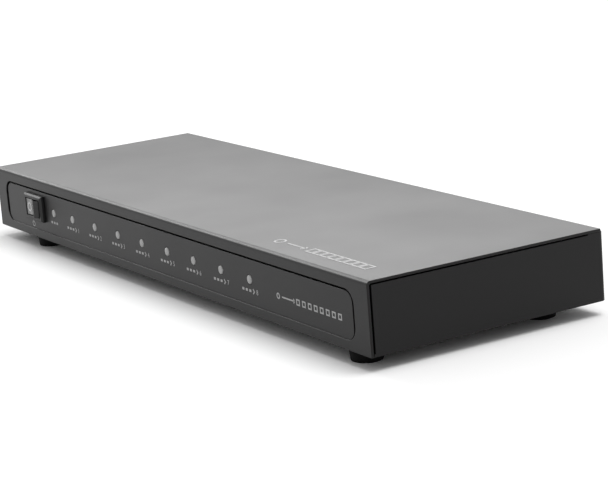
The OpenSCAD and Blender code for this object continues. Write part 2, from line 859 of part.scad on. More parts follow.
// Small controller between the splitter chips
module controller_chip() color("darkslategray")
    translate([0, controller_y, 0]) chip(controller_w, controller_w, controller_h);

// Voltage regulator beside the capacitors
module regulator_chip() color("darkslategray")
    translate([regulator_x, cap_y, 0]) chip(regulator_w, regulator_d, regulator_h);

// Shielded coil beside the regulator
module power_inductor() color("dimgray")
    translate([regulator_x, inductor_y, board_top])
        linear_extrude(inductor_h) rounded_rect(inductor_w, inductor_w, inductor_r);

// Row of capacitors behind the power inlet
module electrolytic_capacitors() color("slategray")
    for (i = [0:cap_count - 1])
        translate([cap_x0 + i * cap_pitch, cap_y, board_top]) cylinder(d = cap_d, h = cap_h);

// Crystal beside the controller
module clock_crystal() color("silver")
    translate([crystal_x, controller_y, board_top])
        linear_extrude(crystal_h) rounded_rect(crystal_w, crystal_l, crystal_w / 2 - fit / 2);

chassis_tray();
top_cover();
front_fascia();
cover_rear_screws();
cover_front_screws();
for (name = FEET)
    foot(name);
main_board();
board_standoffs();
board_screws();
switch_housing();
switch_rocker();
switch_plunger();
switch_spring();
switch_contact_arm();
switch_terminals();
switch_leads();
switch_header();
lamp(power_x);  // power_led
led_holders();
for (i = [1:outputs]) {
    lamp(output_lamp_x(i));
    hdmi_shell(output_port_x(i));
    hdmi_insert(output_port_x(i));
}
hdmi_shell(input_x);  // hdmi_in_shell
hdmi_insert(input_x);  // hdmi_in_insert
dc_jack_body();
dc_jack_pin();
splitter_chips();
heat_sinks();
controller_chip();
regulator_chip();
power_inductor();
electrolytic_capacitors();
clock_crystal();
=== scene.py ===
# %% [markdown]
# # A flat steel box that copies one picture signal to eight screens
# The solids of the box, its switch, lamps and sockets come from the part's own source, and they are
# loaded here as a fixed frame. This lesson gives them their looks: soft edges where sheet steel and
# plastic have them, a finish for every surface, the printed signs, and a quiet studio to see it all in.

# %% Load the solids
import json
import math

import bmesh
import bpy
from mathutils import Matrix, Vector


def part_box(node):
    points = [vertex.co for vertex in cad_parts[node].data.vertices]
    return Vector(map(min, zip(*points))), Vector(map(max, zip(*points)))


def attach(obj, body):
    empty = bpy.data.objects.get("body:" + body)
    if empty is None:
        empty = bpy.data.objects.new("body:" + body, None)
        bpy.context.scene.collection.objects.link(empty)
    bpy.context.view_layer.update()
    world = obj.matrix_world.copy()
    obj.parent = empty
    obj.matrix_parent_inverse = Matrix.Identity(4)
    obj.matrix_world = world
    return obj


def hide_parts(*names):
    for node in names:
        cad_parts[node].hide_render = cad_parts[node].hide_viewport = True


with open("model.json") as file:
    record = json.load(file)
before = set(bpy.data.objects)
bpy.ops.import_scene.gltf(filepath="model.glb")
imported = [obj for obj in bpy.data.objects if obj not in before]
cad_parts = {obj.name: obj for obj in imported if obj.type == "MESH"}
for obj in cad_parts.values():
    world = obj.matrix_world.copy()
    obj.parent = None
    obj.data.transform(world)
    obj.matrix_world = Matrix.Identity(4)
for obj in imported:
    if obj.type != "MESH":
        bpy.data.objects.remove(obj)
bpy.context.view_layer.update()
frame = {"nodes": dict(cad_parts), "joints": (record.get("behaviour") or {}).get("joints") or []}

MM = 0.001
OUTPUTS = 8
nodes = frame["nodes"]

# %% [markdown]
# ## Camera
# Such a box is photographed with a long lens, from the front right and a little above, so that the top,
# the front and one end all show. A Track To constraint could aim the camera. Here it also leans a few
# degrees, so its three axes are worked out from two angles and a lean, and they become the columns of
# its matrix.

# %% Camera
VIEW_AZIMUTH = math.radians(59.74)
VIEW_ELEVATION = math.radians(13.14)
VIEW_LEAN = math.radians(-4.55)
VIEW_DISTANCE = 785.1 * MM
VIEW_AIM = Vector((26.12, 1.01, 11.87)) * MM
LENS_MM = 125.55
SENSOR_MM = 36


def view_matrix(azimuth, elevation, lean, distance, aim):
    back = Vector((math.sin(azimuth), -math.cos(azimuth), math.tan(elevation))).normalized()
    level = Vector((math.cos(azimuth), math.sin(azimuth), 0))
    upright = back.cross(level)
    across = level * math.cos(lean) + upright * math.sin(lean)
    matrix = Matrix((across, back.cross(across), back)).transposed().to_4x4()
    matrix.translation = aim + back * distance
    return matrix


camera = bpy.data.objects.new("camera", bpy.data.cameras.new("camera"))
camera.data.sensor_width = SENSOR_MM
camera.data.lens = LENS_MM
camera.matrix_world = view_matrix(VIEW_AZIMUTH, VIEW_ELEVATION, VIEW_LEAN, VIEW_DISTANCE, VIEW_AIM)
bpy.context.scene.collection.objects.link(camera)
bpy.context.scene.camera = camera
print("camera stands at, mm:", [round(x / MM, 1) for x in camera.location])

# %% [markdown]
# ## Node helpers
# Materials, the air of the studio and the Geometry Nodes trees are all built from nodes. One helper adds
# a node and fills its sockets: a plain value is written into the socket, and another node's output is
# linked to it. That keeps each finish below down to the few lines that say what it is.


# %% Node helpers
def add(tree, kind, inputs=None, **settings):
    node = tree.nodes.new(kind)
    for name, value in settings.items():
        setattr(node, name, value)
    for name, value in (inputs or {}).items():
        if isinstance(value, bpy.types.NodeSocket):
            tree.links.new(value, node.inputs[name])
        else:
            node.inputs[name].default_value = value
    return node


def seen_directly(tree):
    """1 for rays from the camera, and for those that mirrors and clear plastic send on."""
    path = add(tree, "ShaderNodeLightPath")
    total = path.outputs["Is Camera Ray"]
    for kind in ("Is Glossy Ray", "Is Transmission Ray"):
        pair = {0: total, 1: path.outputs[kind]}
        total = add(tree, "ShaderNodeMath", pair, operation="MAXIMUM").outputs[0]
    return total


def blend(tree, low, high, factor):
    """A number that runs from low to high as factor runs from 0 to 1."""
    ends = {"Value": factor, "To Min": low, "To Max": high}
    return add(tree, "ShaderNodeMapRange", ends).outputs["Result"]


print("node helpers ready")

# %% [markdown]
# ## Studio
# The box stands on a pale sheet under soft light from all round. Dark paint takes most of its brightness
# from what it mirrors, so the air has to be white where it is mirrored, and dimmer where it only lights.
# The sheet brightens in the same way for the camera, which turns it white without more light on the box,
# and the shadow under the box stays.

# %% Air and sheet
AIR_LIGHT = 0.55
SHEET_BOUNCE = 0.5
SHEET_SEEN = 0.98
SHEET_SIDE = 12

scene = bpy.context.scene
scene.view_settings.view_transform = "Standard"
scene.world = bpy.data.worlds.new("studio_air")
scene.world.use_nodes = True
air = scene.world.node_tree
air.nodes["Background"].inputs["Color"].default_value = (1, 1, 1, 1)
air.links.new(blend(air, AIR_LIGHT, 1, seen_directly(air)), air.nodes["Background"].inputs["Strength"])


def sheet_finish():
    material = bpy.data.materials.new("paper_sheet")
    material.use_nodes = True
    tree = material.node_tree
    tree.nodes.remove(tree.nodes["Principled BSDF"])
    tone = blend(tree, SHEET_BOUNCE, SHEET_SEEN, seen_directly(tree))
    paper = add(tree, "ShaderNodeBsdfDiffuse", {"Color": tone})
    clear = add(tree, "ShaderNodeBsdfTransparent")
    below = add(tree, "ShaderNodeNewGeometry").outputs["Backfacing"]
    mixed = add(tree, "ShaderNodeMixShader", {0: below, 1: paper.outputs[0], 2: clear.outputs[0]})
    tree.links.new(mixed.outputs[0], tree.nodes["Material Output"].inputs["Surface"])
    return material


sheet_mesh = bpy.data.meshes.new("paper_sheet")
half = SHEET_SIDE / 2
sheet_corners = [(-half, -half, 0), (half, -half, 0), (half, half, 0), (-half, half, 0)]
sheet_mesh.from_pydata(sheet_corners, [], [(0, 1, 2, 3)])
sheet_mesh.materials.append(sheet_finish())
sheet = bpy.data.objects.new("paper_sheet", sheet_mesh)
scene.collection.objects.link(sheet)
print("sheet of", SHEET_SIDE, "m on the floor, air at", AIR_LIGHT)

# %% [markdown]
# ## Lamps
# One wide lamp hangs overhead, a little behind the box and to its right, and draws the soft shadow in
# front of it. A second, on the left, is there for the bend above the front: a rounded edge mirrors a
# lamp as a thin bright line. A third stands low behind the box, where the top mirrors it at a flat angle
# and turns pale. A narrow strip completes the bright line on the bend and on the small edges below it.
# It is only mirrored, so it adds no shadow. All are sun lamps, because a far lamp lights both ends of
# the box alike, and a large angle makes it soft.

# %% Lamps
# Each lamp has the way to where it stands, its strength, and its width in degrees.
LAMPS = {
    "overhead_diffuser": ((0.18, 0.2, 1), 1.73, 45),
    "left_softbox": ((-0.84, 0.03, 0.52), 0.7, 24),
    "back_softbox": ((-0.84, 0.49, 0.23), 0.33, 30),
    "edge_strip": ((-0.84, -0.25, 0.48), 0.7, 10),
}


def hang_lamp(name, stands, light, spread):
    """A far lamp that shines from where it stands to the middle of the floor, spread degrees wide."""
    lamp = bpy.data.objects.new(name, bpy.data.lights.new(name, "SUN"))
    lamp.data.energy = light
    lamp.data.angle = math.radians(spread)
    lamp.location = stands
    lamp.rotation_euler = (-lamp.location).to_track_quat("-Z", "Y").to_euler()
    scene.collection.objects.link(lamp)
    return lamp


lamps = {name: hang_lamp(name, *settings) for name, settings in LAMPS.items()}
lamps["edge_strip"].visible_diffuse = False
print("lamps hung:", ", ".join(LAMPS))

# %% [markdown]
# ## Finishes
# Every finish starts from the same shader and adds what its real surface shows: a mottled colour, a
# gloss that wanders a little, and a fine relief. The patterns are noises read in object coordinates,
# which are metres here, so a grain is given by its real size in millimetres and lies on the piece
# wherever it moves.

# %% The start of a finish
PATCH = 8  # a patch of colour is this many grains wide


def start_finish(name, **sockets):
    material = bpy.data.materials.new(name)
    material.use_nodes = True
    shader = material.node_tree.nodes["Principled BSDF"]
    for label, value in sockets.items():
        shader.inputs[label.replace("_", " ")].default_value = value
    return material, material.node_tree, shader


def grain(tree, size, detail=2, stretch=(1, 1, 1)):
    """Noise from 0 to 1 with grains of about size millimetres, drawn out by stretch."""
    place = add(tree, "ShaderNodeTexCoord").outputs["Object"]
    scale = tuple(1 / way for way in stretch)
    mapped = add(tree, "ShaderNodeMapping", {"Vector": place, "Scale": scale}).outputs[0]
    noise = {"Vector": mapped, "Scale": 1 / (size * MM), "Detail": detail}
    return add(tree, "ShaderNodeTexNoise", noise).outputs[0]


def mottle(tree, shader, dark, light, factor):
    colours = add(tree, "ShaderNodeMix", {0: factor, 6: (*dark, 1), 7: (*light, 1)}, data_type="RGBA")
    tree.links.new(colours.outputs[2], shader.inputs["Base Color"])


def relief(tree, shader, height, depth, strength=1):
    bump = {"Height": height, "Distance": depth * MM, "Strength": strength}
    tree.links.new(add(tree, "ShaderNodeBump", bump).outputs[0], shader.inputs["Normal"])


def gloss(tree, shader, low, high, factor):
    tree.links.new(blend(tree, low, high, factor), shader.inputs["Roughness"])


def plain_finish(name, dark, light, rough, size, depth, stretch=(1, 1, 1), **sockets):
    """A finish with one grain: colour from dark to light, a range of roughness, relief in mm."""
    material, tree, shader = start_finish(name, **sockets)
    mottle(tree, shader, dark, light, grain(tree, PATCH * size, 3, stretch))
    fine = grain(tree, size, 2, stretch)
    gloss(tree, shader, *rough, fine)
    relief(tree, shader, fine, depth)
    return material


print("finish helpers ready")

# %% [markdown]
# ## Paint of the casing
# The cover and the tray are folded steel with one dark satin coat, baked on as powder. Such a coat is
# nearly black by itself. It looks pale on the top only because that face is seen at a low angle, where
# any clear surface mirrors strongly. So the colour stays dark, and the gloss does the rest. Fine orange
# peel and a slow drift of the gloss keep it from looking like a flat colour.

# %% Casing paint
PAINT_DARK = (0.0035, 0.0033, 0.0035)
PAINT_LIGHT = (0.005, 0.0047, 0.005)
PAINT_ROUGH = (0.34, 0.42)
DRIFT_SIZE = 45
PEEL_SIZE = 0.5
PEEL_DEPTH = 0.012


def casing_paint():
    material, tree, shader = start_finish("casing_paint", IOR=1.32)
    drift = grain(tree, DRIFT_SIZE, 3)
    mottle(tree, shader, PAINT_DARK, PAINT_LIGHT, drift)
    gloss(tree, shader, *PAINT_ROUGH, drift)
    relief(tree, shader, grain(tree, PEEL_SIZE, 2), PEEL_DEPTH, strength=0.35)
    return material


paint = casing_paint()
print("made", paint.name)

# %% [markdown]
# ## Other finishes
# Moulded black plastic, rubber, bright plated steel, brass, milky lamp plastic and ink each need only
# one grain, so one helper makes them. Drawn metal has its grain stretched along the way it was rolled.


# %% Plastics, rubber and ink
def grey(level):
    return (level, level, level)


# Each row: the darkest and the lightest colour, the range of roughness, grain and relief in millimetres.
rubber = plain_finish("foot_rubber", grey(0.002), grey(0.004), (0.6, 0.8), 0.3, 0.02, IOR=1.2)
switch_plastic = plain_finish(
    "switch_plastic", grey(0.008), grey(0.011), (0.44, 0.52), 0.4, 0.004, IOR=1.4
)
rocker_plastic = plain_finish("rocker_plastic", grey(0.004), grey(0.006), (0.12, 0.18), 0.4, 0.002)
socket_plastic = plain_finish("socket_plastic", grey(0.008), grey(0.014), (0.4, 0.55), 0.3, 0.006)
lamp_plastic = plain_finish("lamp_plastic", grey(0.39), (0.48, 0.48, 0.475), (0.3, 0.42), 0.6, 0.004)
ink = plain_finish("printed_ink", grey(0.42), grey(0.52), (0.5, 0.65), 0.2, 0.004)
white_ink = plain_finish("switch_ink", grey(0.6), grey(0.72), (0.45, 0.6), 0.2, 0.004)
nylon = plain_finish("nylon", (0.55, 0.52, 0.44), (0.64, 0.61, 0.53), (0.4, 0.55), 0.5, 0.006)
lead_jacket = plain_finish(
    "lead_jacket", (0.3, 0.012, 0.01), (0.4, 0.02, 0.015), (0.35, 0.5), 0.5, 0.005
)
chip_resin = plain_finish(
    "chip_resin", (0.01, 0.01, 0.011), (0.018, 0.018, 0.019), (0.5, 0.7), 0.15, 0.008
)
ferrite = plain_finish("ferrite", (0.03, 0.03, 0.032), (0.06, 0.06, 0.062), (0.6, 0.8), 0.2, 0.02)
capacitor_sleeve = plain_finish(
    "capacitor_sleeve", (0.05, 0.06, 0.09), (0.07, 0.085, 0.12), (0.3, 0.42), 0.5, 0.006
)
print("plastics, rubber and ink made")

# %% Metals
ALONG_Y = (1, 12, 1)
bright_steel = plain_finish(
    "bright_steel", (0.5, 0.49, 0.47), (0.62, 0.61, 0.59), (0.22, 0.34), 0.15, 0.004, ALONG_Y, Metallic=1
)
black_steel = plain_finish(
    "black_steel", (0.015, 0.015, 0.016), (0.03, 0.03, 0.031), (0.35, 0.5), 0.2, 0.006, Metallic=0.6
)
brass = plain_finish(
    "brass", (0.6, 0.42, 0.16), (0.74, 0.54, 0.24), (0.25, 0.38), 0.2, 0.004, Metallic=1
)
gold_plate = plain_finish(
    "gold_plate", (0.78, 0.52, 0.16), (0.88, 0.63, 0.24), (0.2, 0.3), 0.1, 0.002, ALONG_Y, Metallic=1
)
tin_plate = plain_finish("tin_plate", grey(0.5), grey(0.64), (0.35, 0.5), 0.25, 0.006, Metallic=1)
aluminium = plain_finish(
    "aluminium", (0.55, 0.56, 0.57), (0.68, 0.69, 0.7), (0.3, 0.45), 0.2, 0.006, ALONG_Y, Metallic=1
)
print("metals made")

# %% [markdown]
# ## Circuit board
# The board is glass cloth under green lacquer, with copper tracks that show through as a paler green.
# Nobody sees it while the cover is on, but it is there when the box is opened. Drawing each track would
# be slow, so the edges between the cells of a Voronoi pattern measured along straight ways stand for the
# tracks.

# %% Circuit board
LACQUER_DARK = (0.006, 0.05, 0.016)
LACQUER_LIGHT = (0.018, 0.11, 0.035)
TRACK_CELL = 4 * MM
TRACK_STEP = 0.16
TRACK_EDGE = 0.1
TRACK_RELIEF = 0.03


def board_lacquer():
    material, tree, shader = start_finish("board_lacquer", Roughness=0.35)
    place = add(tree, "ShaderNodeTexCoord").outputs["Object"]
    cells = add(
        tree, "ShaderNodeTexVoronoi", {"Vector": place, "Scale": 1 / TRACK_CELL, "Randomness": 0.8},
        feature="F2", distance="CHEBYCHEV",
    ).outputs["Distance"]
    bands = add(tree, "ShaderNodeMath", {0: cells, 1: TRACK_STEP}, operation="PINGPONG").outputs[0]
    track = add(tree, "ShaderNodeMath", {0: bands, 1: TRACK_EDGE}, operation="GREATER_THAN").outputs[0]
    mottle(tree, shader, LACQUER_DARK, LACQUER_LIGHT, track)
    relief(tree, shader, track, TRACK_RELIEF)
    return material


board_green = board_lacquer()
print("made", board_green.name)

# %% [markdown]
# ## Pieces that keep their solids
# Most inner pieces already have the right shape, so they only take a finish. A solid that comes from the
# frame has one material slot, and putting another material into that slot leaves the solid itself as it
# was.


# %% Finishes for the solids
def dress(finish, *names):
    for name in names:
        nodes[name].material_slots[0].material = finish


outputs = range(1, OUTPUTS + 1)
lamp_names = ["power_led"] + [f"output_led_{i}" for i in outputs]
insert_names = ["hdmi_in_insert"] + [f"hdmi_out_{i}_insert" for i in outputs]
shell_names = ["hdmi_in_shell"] + [f"hdmi_out_{i}_shell" for i in outputs]

dress(lamp_plastic, *lamp_names)
dress(socket_plastic, *insert_names, "led_holders")
dress(board_green, "main_board")
dress(brass, "board_standoffs", "switch_contact_arm")
dress(tin_plate, "switch_terminals", "clock_crystal")
dress(nylon, "switch_plunger", "switch_header")
dress(lead_jacket, "switch_leads")
dress(chip_resin, "splitter_chips", "controller_chip", "regulator_chip")
dress(aluminium, "heat_sinks")
dress(ferrite, "power_inductor")
dress(capacitor_sleeve, "electrolytic_capacitors")
print("dressed", sum(o.material_slots[0].material.name != o.name for o in nodes.values()), "solids")

# %% [markdown]
# ## Drawing helpers
# Several steps need an arc, an outline with rounded corners, or a stroke of even width, so these come
# first. A stroke is a strip with a thickness: thin, it is a printed line, and thick, it is a tool that
# cuts a groove.

# %% Arcs, outlines and strokes
INK_T = 0.03 * MM
MITRE_LIMIT = 0.3  # keeps the corner of a sharp turn from growing long


def arc(centre, radius, start, end, steps=6):
    """Points along an arc, from start to end in degrees."""
    turns = [math.radians(start + (end - start) * i / steps) for i in range(steps + 1)]
    return [(centre[0] + radius * math.cos(t), centre[1] + radius * math.sin(t)) for t in turns]


def filleted(corners, radius, steps=5):
    """An outline with each corner replaced by a small arc that touches both of its sides."""
    outline = []
    for i, corner in enumerate(corners):
        corner = Vector(corner)
        before = (Vector(corners[i - 1]) - corner).normalized()
        after = (Vector(corners[(i + 1) % len(corners)]) - corner).normalized()
        half_angle = before.angle(after) / 2
        centre = corner + (before + after).normalized() * (radius / math.sin(half_angle))
        start = corner + before * (radius / math.tan(half_angle)) - centre
        end = corner + after * (radius / math.tan(half_angle)) - centre
        sweep = start.angle_signed(end)
        for k in range(steps + 1):
            outline.append(centre + Matrix.Rotation(-sweep * k / steps, 2) @ start)
    return outline


def join_rows(shape, rows, closed=False):
    """Walls between rows of four points, with a lid on each end unless the rows close up."""
    for a, b in zip(rows, rows[1:] + rows[:1] if closed else rows[1:]):
        for i in range(4):
            k = (i + 1) % 4
            shape.faces.new((a[i], a[k], b[k], b[i]))
    if not closed:
        shape.faces.new(rows[0])
        shape.faces.new(rows[-1])


def add_stroke(shape, points, width, place, closed=False, low=0, high=INK_T):
    """A stroke of even width along points in a plane, from low to high above it."""
    points = [Vector(p) for p in points]
    count = len(points)
    rows = []
    for i, point in enumerate(points):
        before = points[i - 1] if closed or i else None
        after = points[(i + 1) % count] if closed or i < count - 1 else None
        ways = [(b - a).normalized() for a, b in ((before, point), (point, after)) if a and b]
        way = sum(ways, Vector((0, 0))).normalized()
        side = Vector((-way.y, way.x)) * (width / 2) / max(way.dot(ways[0]), MITRE_LIMIT)
        spots = ((point + side, low), (point - side, low), (point - side, high), (point + side, high))
        rows.append([shape.verts.new(place @ Vector((p.x, p.y, z))) for p, z in spots])
    join_rows(shape, rows, closed)


def facing(spot, normal, up):
    """A place at spot whose Z looks along normal and whose Y runs along up."""
    normal, up = Vector(normal), Vector(up)
    matrix = Matrix((up.cross(normal), up, normal)).transposed().to_4x4()
    matrix.translation = spot
    return matrix


FRONT = Vector((0, -1, 0))
REAR = Vector((0, 1, 0))
UP = Vector((0, 0, 1))
print("drawing helpers ready")

# %% [markdown]
# ## Soft edges
# No folded sheet or moulding has a perfectly sharp edge, and the thin bright line along an edge is what
# makes a thing look made. A solid's mesh is loose triangles, so a copy of it is merged and its flat
# triangles are joined into whole faces. Then the sharp edges are bevelled, and normals weighted by area
# keep the large faces flat.

# %% Soft edges
SHARP = math.radians(30)
FLAT = math.radians(0.4)
MERGE = 0.002 * MM


def new_piece(name, mesh, body, finish, replaced=()):
    """Links a finished mesh as a piece that rides on a body and may stand for solids of the frame."""
    piece = bpy.data.objects.new(name, mesh)
    scene.collection.objects.link(piece)
    mesh.materials.clear()
    mesh.materials.append(finish)
    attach(piece, body)
    if replaced:
        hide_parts(*replaced)
    return piece


def settle(mesh, name, **modifiers):
    """The mesh after its modifiers, as a plain mesh. Each modifier is kind=its settings."""
    stand_in = bpy.data.objects.new(name, mesh)
    scene.collection.objects.link(stand_in)
    for kind, settings in modifiers.items():
        modifier = stand_in.modifiers.new(kind, kind)
        for label, value in settings.items():
            setattr(modifier, label, value)
    view = bpy.context.evaluated_depsgraph_get()
    settled = bpy.data.meshes.new_from_object(stand_in.evaluated_get(view))
    bpy.data.objects.remove(stand_in)
    settled.name = name
    return settled


def round_edges(shape, width, steps=2, chosen=None):
    """Bevels the sharp edges of a bmesh by width millimetres, or only those whose middle is chosen."""
    sharp = [edge for edge in shape.edges if edge.is_manifold and edge.calc_face_angle() > SHARP]
    if chosen:
        sharp = [edge for edge in sharp if chosen((edge.verts[0].co + edge.verts[1].co) / 2)]
    bmesh.ops.bevel(
        shape, geom=sharp, offset=width * MM, segments=steps,
        profile=0.5, affect="EDGES", clamp_overlap=False,
    )


def plain_mesh(shape, name):
    mesh = bpy.data.meshes.new(name)
    shape.to_mesh(mesh)
    shape.free()
    return mesh


def smooth_mesh(shape, name):
    """Turns a bmesh into a mesh with smooth shading that keeps its large faces flat."""
    for face in shape.faces:
        face.smooth = True
    return settle(plain_mesh(shape, name), name, WEIGHTED_NORMAL={"weight": 100})


def cut(mesh, name, cutter):
    """The mesh without what the cutter, a bmesh, takes away."""
    tool = bpy.data.objects.new(name + "_cutter", plain_mesh(cutter, name + "_cutter"))
    scene.collection.objects.link(tool)
    left = settle(mesh, name, BOOLEAN={"object": tool, "operation": "DIFFERENCE", "use_self": True})
    bpy.data.objects.remove(tool)
    return left


def whole_faces(mesh):
    """A bmesh of a mesh, with its triangles merged and its flat parts joined into whole faces."""
    shape = bmesh.new()
    shape.from_mesh(mesh)
    bmesh.ops.remove_doubles(shape, verts=shape.verts, dist=MERGE)
    bmesh.ops.dissolve_limit(shape, angle_limit=FLAT, verts=shape.verts, edges=shape.edges)
    return shape


def finish_soft(shape, node, name, width, body, finish):
    round_edges(shape, width)
    piece = new_piece(name, smooth_mesh(shape, name), body, finish, [node])
    print(f"{name}: {len(piece.data.polygons)} faces, edges rounded by {width} mm")
    return piece


def soften(node, name, width, body, finish):
    return finish_soft(whole_faces(nodes[node].data), node, name, width, body, finish)


print("edge helpers ready")

# %% [markdown]
# ## Folded sheets
# The cover and the tray are bent from sheet, so their edges only need the small round that a punch
# leaves. The edge of the window is dressed a little more, because a finger meets it. The fascia behind
# has a raised panel that rests on the lower edge of the window, with play above and beside it. That play
# draws the dark line round the front, and a groove cut into the plate behind it keeps stray light from
# filling it.

# %% Cover and tray
WINDOW_EDGE = 0.2
SHEET_EDGE = 0.22
cover_low, cover_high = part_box("top_cover")


def box_of(spots):
    return Vector(map(min, zip(*spots))), Vector(map(max, zip(*spots)))


def front_spots(node):
    """The points of a solid that lie in its foremost plane."""
    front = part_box(node)[0].y + MERGE
    return [vert.co for vert in nodes[node].data.vertices if vert.co.y < front]


bezel_spots = front_spots("top_cover")
inner_spots = [
    s for s in bezel_spots if abs(s.x) < cover_high.x - MERGE and s.z > cover_low.z + MERGE
]
window_low, window_high = box_of(inner_spots)
print("window, mm:", [round(x / MM, 1) for x in window_high - window_low])


def on_window_edge(spot):
    across = abs(spot.x) < window_high.x + MERGE
    upright = window_low.z - MERGE < spot.z < window_high.z + MERGE
    return across and upright and spot.y < cover_low.y + MERGE


cover_shape = whole_faces(nodes["top_cover"].data)
round_edges(cover_shape, WINDOW_EDGE, 4, on_window_edge)
cover = finish_soft(
    cover_shape, "top_cover", "cover_sheet", SHEET_EDGE, "casing", paint
)
top_face = cover_high.z
for vert in cover.data.vertices:
    vert.co.z = min(vert.co.z, top_face - INK_T)
soften("chassis_tray", "tray_sheet", SHEET_EDGE, "casing", paint)

# %% Fascia
PANEL_R = 3.8 * MM
GROOVE_W = 1.2 * MM
GROOVE_DEPTH = 0.7 * MM
GROOVE_OPEN = 0.2 * MM  # the cutter starts this far in front of the plate
PLATE_T = 1 * MM
PLATE_EDGE = 0.12
REST_GAP = 0.02 * MM
fascia_low, fascia_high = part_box("front_fascia")
panel_y = fascia_low.y
plate_y = fascia_high.y - PLATE_T
panel_low, panel_high = box_of(front_spots("front_fascia"))


def on_panel(x, z):
    return facing((x, panel_y, z), FRONT, UP)


def groove_path():
    """Up the left end of the panel, along its top and down its right end, half a groove outside it."""
    out = GROOVE_W / 2
    corner_x = panel_high.x - PANEL_R
    corner_z = panel_high.z - PANEL_R
    path = [(-panel_high.x - out, panel_low.z + PANEL_R)]
    path += arc((-corner_x, corner_z), PANEL_R + out, 180, 90, 10)
    path += arc((corner_x, corner_z), PANEL_R + out, 90, 0, 10)
    return path + [(panel_high.x + out, panel_low.z + PANEL_R)]


groove = bmesh.new()
on_plate = facing((0, plate_y, 0), FRONT, UP)
add_stroke(groove, groove_path(), GROOVE_W, on_plate, low=-GROOVE_DEPTH, high=GROOVE_OPEN)
bmesh.ops.recalc_face_normals(groove, faces=groove.faces)
plate = plain_mesh(whole_faces(nodes["front_fascia"].data), "fascia_plate")
plate_shape = whole_faces(cut(plate, "fascia_plate", groove))
for vert in plate_shape.verts:
    if vert.co.y < plate_y - MERGE and vert.co.z < panel_low.z + PANEL_R:
        vert.co.z -= panel_low.z - window_low.z - REST_GAP
finish_soft(
    plate_shape, "front_fascia", "fascia_plate", PLATE_EDGE, "casing", paint
)
print("gap above the panel, mm:", round((window_high.z - panel_high.z) / MM, 2))

# %% Switch and power inlet
# The number is how far the edges are rounded, in millimetres.
soften("switch_housing", "switch_frame", 0.12, "casing", switch_plastic)
soften("switch_rocker", "switch_paddle", 0.25, "rocker", rocker_plastic)
soften("dc_jack_body", "inlet_block", 0.2, "casing", socket_plastic)
soften("dc_jack_pin", "inlet_pin", 0.3, "casing", bright_steel)

# %% [markdown]
# ## Setting out what repeats
# Feet and screws are the same shape in several places. Copies could be made in a loop, but a Geometry
# Nodes tree says it better: the places are the points of a mesh, one pattern piece is set on each point,
# and the copies are made real, because an export drops instances. The tree's inputs are named for what
# they are.


# %% A tree that sets a pattern on points
def geometry_tree(name, inputs):
    tree = bpy.data.node_groups.new(name, "GeometryNodeTree")
    tree.interface.new_socket("Geometry", in_out="OUTPUT", socket_type="NodeSocketGeometry")
    for label, kind in inputs.items():
        tree.interface.new_socket(label, in_out="INPUT", socket_type="NodeSocket" + kind)
    return tree, add(tree, "NodeGroupInput").outputs


def end_tree(tree, geometry, finish):
    """Every tree ends by making its copies real and giving them their finish."""
    real = add(tree, "GeometryNodeRealizeInstances", {"Geometry": geometry}).outputs[0]
    done = add(tree, "GeometryNodeSetMaterial", {"Geometry": real, "Material": finish}).outputs[0]
    add(tree, "NodeGroupOutput", {"Geometry": done})


def pattern_tree():
    inputs = {"Places": "Geometry", "Pattern": "Object", "Finish": "Material"}
    tree, given = geometry_tree("set_pattern", inputs)
    pattern = add(tree, "GeometryNodeObjectInfo", {"Object": given["Pattern"], "As Instance": True})
    copies = add(
        tree, "GeometryNodeInstanceOnPoints",
        {"Points": given["Places"], "Instance": pattern.outputs["Geometry"]},
    )
    end_tree(tree, copies.outputs[0], given["Finish"])
    return tree


set_pattern = pattern_tree()
print("tree", set_pattern.name, "takes", [item.name for item in set_pattern.interface.items_tree])


# %% Running a tree
def run_tree(name, tree, places, **values):
    """Runs a tree on a mesh of points and returns the result as a plain mesh."""
    points = bpy.data.meshes.new(name)
    points.from_pydata(places, [], [])
    holder = bpy.data.objects.new(name, points)
    scene.collection.objects.link(holder)
    modifier = holder.modifiers.new(name, "NODES")
    modifier.node_group = tree
    for item in tree.interface.items_tree:
        if item.in_out == "INPUT" and item.name in values:
            modifier[item.identifier] = values[item.name]
    view = bpy.context.evaluated_depsgraph_get()
    made = bpy.data.meshes.new_from_object(holder.evaluated_get(view))
    bpy.data.objects.remove(holder)
    return made


def set_out(name, pattern, places, body, finish, replaced):
    """One piece made of the same pattern mesh at several places."""
    stand_in = bpy.data.objects.new(name + "_pattern", pattern)
    scene.collection.objects.link(stand_in)
    made = run_tree(name, set_pattern, places, Pattern=stand_in, Finish=finish)
    bpy.data.objects.remove(stand_in)
    piece = new_piece(name, made, body, finish, replaced)
    print(f"{name}: {len(places)} copies, {len(made.polygons)} faces")
    return piece


def middle(name):
    low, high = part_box(name)
    return (low + high) / 2


print("helpers for setting out ready")

# %% [markdown]
# ## Feet
# The feet are moulded rubber discs: a slight taper, a soft lower edge, and a shallow dish underneath
# that helps them grip. A foot is a shape of revolution, so half of its outline is drawn once and spun
# about its axis.

# %% Feet
SPIN_STEPS = 48
FOOT_TAPER = 0.6 * MM
FOOT_EDGE = 0.35 * MM
FOOT_DISH = 0.4 * MM
FOOT_DISH_R = 3.2 * MM


def spun(outline):
    """Spins an outline of (radius, height) points about Z into a closed mesh."""
    shape = bmesh.new()
    ring = [shape.verts.new((radius, 0, height)) for radius, height in outline]
    edges = [shape.edges.new(pair) for pair in zip(ring, ring[1:])]
    bmesh.ops.spin(
        shape, geom=ring + edges, axis=(0, 0, 1), cent=(0, 0, 0),
        angle=math.tau, steps=SPIN_STEPS, use_merge=True,
    )
    bmesh.ops.remove_doubles(shape, verts=shape.verts, dist=MERGE)
    bmesh.ops.recalc_face_normals(shape, faces=shape.faces)
    return shape


